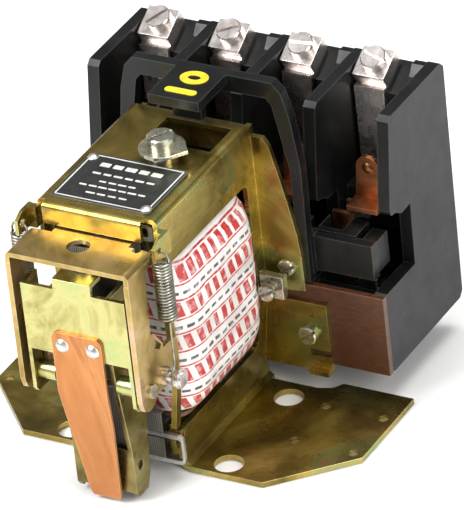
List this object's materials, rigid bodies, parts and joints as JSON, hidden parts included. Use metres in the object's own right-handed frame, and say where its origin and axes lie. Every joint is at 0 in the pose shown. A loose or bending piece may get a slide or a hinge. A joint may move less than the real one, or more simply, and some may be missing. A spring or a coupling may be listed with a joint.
{
  "type": "magnetic motor starter",
  "caption": "open clapper-type magnetic motor starter: folded frame with coil, hinged armature and return springs driving a sliding multi-pole contact carrier",
  "frame": {"origin": "centre of the pattern of large base holes, on the mounting face under the base wings", "axes": "+Z out of the panel, up through the base wings toward the terminals; +Y from the armature toward the contact block; +X along the row of poles"},
  "size_m": [0.138, 0.1429, 0.1169],
  "materials": {
    "zinc_yellow": "yellow chromate zinc plating with olive and pink tints",
    "zinc_tan": "yellow chromate zinc plating, warm tan",
    "zinc_green": "yellow chromate zinc plating, bright yellow green",
    "zinc_olive": "yellow chromate zinc plating, olive",
    "zinc_bright": "pale yellow passivated zinc, bright",
    "nameplate_black": null,
    "rivet_aluminium": "bright aluminium",
    "rivet_steel": "plain steel rivet",
    "srbp_brown": "resin bonded paper board, brown with tan edges",
    "phenolic_black": "black moulded phenolic, semi gloss",
    "nickel": "bright nickel plate",
    "silver_tip": "silver contact alloy",
    "copper_dark": "aged copper",
    "copper_strip": "clean matt copper strip",
    "lamination_steel": "stacked electrical steel laminations, grey",
    "bobbin_brown": "brown moulded bobbin",
    "enamel_copper": "enamelled copper winding wire",
    "tape_white": null,
    "spring_steel": "plated spring wire",
    "mark_yellow": "yellow paint"
  },
  "bodies": {
    "base": {"side_frame": "zinc_yellow", "top_channel": "zinc_yellow", "nameplate": "nameplate_black", "nameplate_rivets": "rivet_aluminium", "top_spacer": "zinc_bright", "top_washer": "zinc_bright", "top_screw": "zinc_bright", "insulating_plate": "srbp_brown", "contact_block": "phenolic_black", "tab_screws": "zinc_bright", "earth_screw": "zinc_bright", "earth_nut": "zinc_bright", "line_conductors": "nickel", "line_terminal_clamps": "nickel", "line_terminal_screws": "nickel", "line_fixed_tips": "silver_tip", "load_conductors": "nickel", "load_terminal_clamps": "nickel", "load_terminal_screws": "nickel", "load_fixed_tips": "silver_tip", "arc_horns": "copper_dark", "arc_horn_rivets": "copper_dark", "core_laminations": "lamination_steel", "core_side_plates": "zinc_yellow", "core_rivets": "rivet_steel", "pole_clips": "zinc_yellow", "shading_rings": "rivet_aluminium", "coil_bobbin": "bobbin_brown", "coil_winding": "enamel_copper", "coil_tape": "tape_white", "coil_terminal_tabs": "zinc_bright", "coil_terminal_bolts": "zinc_bright", "coil_terminal_nuts": "zinc_bright"},
    "armature": {"armature_bracket": "zinc_tan", "armature_plate": "zinc_green", "armature_bar": "lamination_steel", "armature_bar_rivets": "rivet_steel", "drop_channel": "zinc_olive", "cross_rod": "zinc_bright", "rod_collars": "zinc_green", "leaf_strip": "copper_strip", "leaf_rivets": "rivet_aluminium", "spring_pins": "nickel"},
    "springs": {"return_springs": "spring_steel"},
    "carrier": {"contact_carrier": "phenolic_black", "bridge_contacts": "copper_dark", "bridge_contact_tips": "silver_tip", "bridge_springs": "spring_steel", "indicator_marks": "mark_yellow"}
  },
  "joints": [
    {"name": "armature_hinge", "type": "hinge", "parent": "base", "child": "armature", "pos_m": [0, -0.03925, 0.0941], "axis": [1, 0, 0], "range_deg": [0, 5], "stiffness_Nm_per_rad": 0.6, "springref_deg": -14.32},
    {"name": "spring_swing", "type": "hinge", "parent": "base", "child": "springs", "pos_m": [0, -0.04125, 0.0938], "axis": [1, 0, 0], "range_deg": [0, 5]},
    {"name": "carrier_slide", "type": "slide", "parent": "base", "child": "carrier", "axis": [0, 1, 0], "range_m": [0, 0.006]}
  ],
  "couplings": [
    {"joint": "spring_swing", "follows": "armature_hinge", "ratio": 0.989},
    {"joint": "carrier_slide", "follows": "armature_hinge", "m_per_rad": 0.0687}
  ]
}
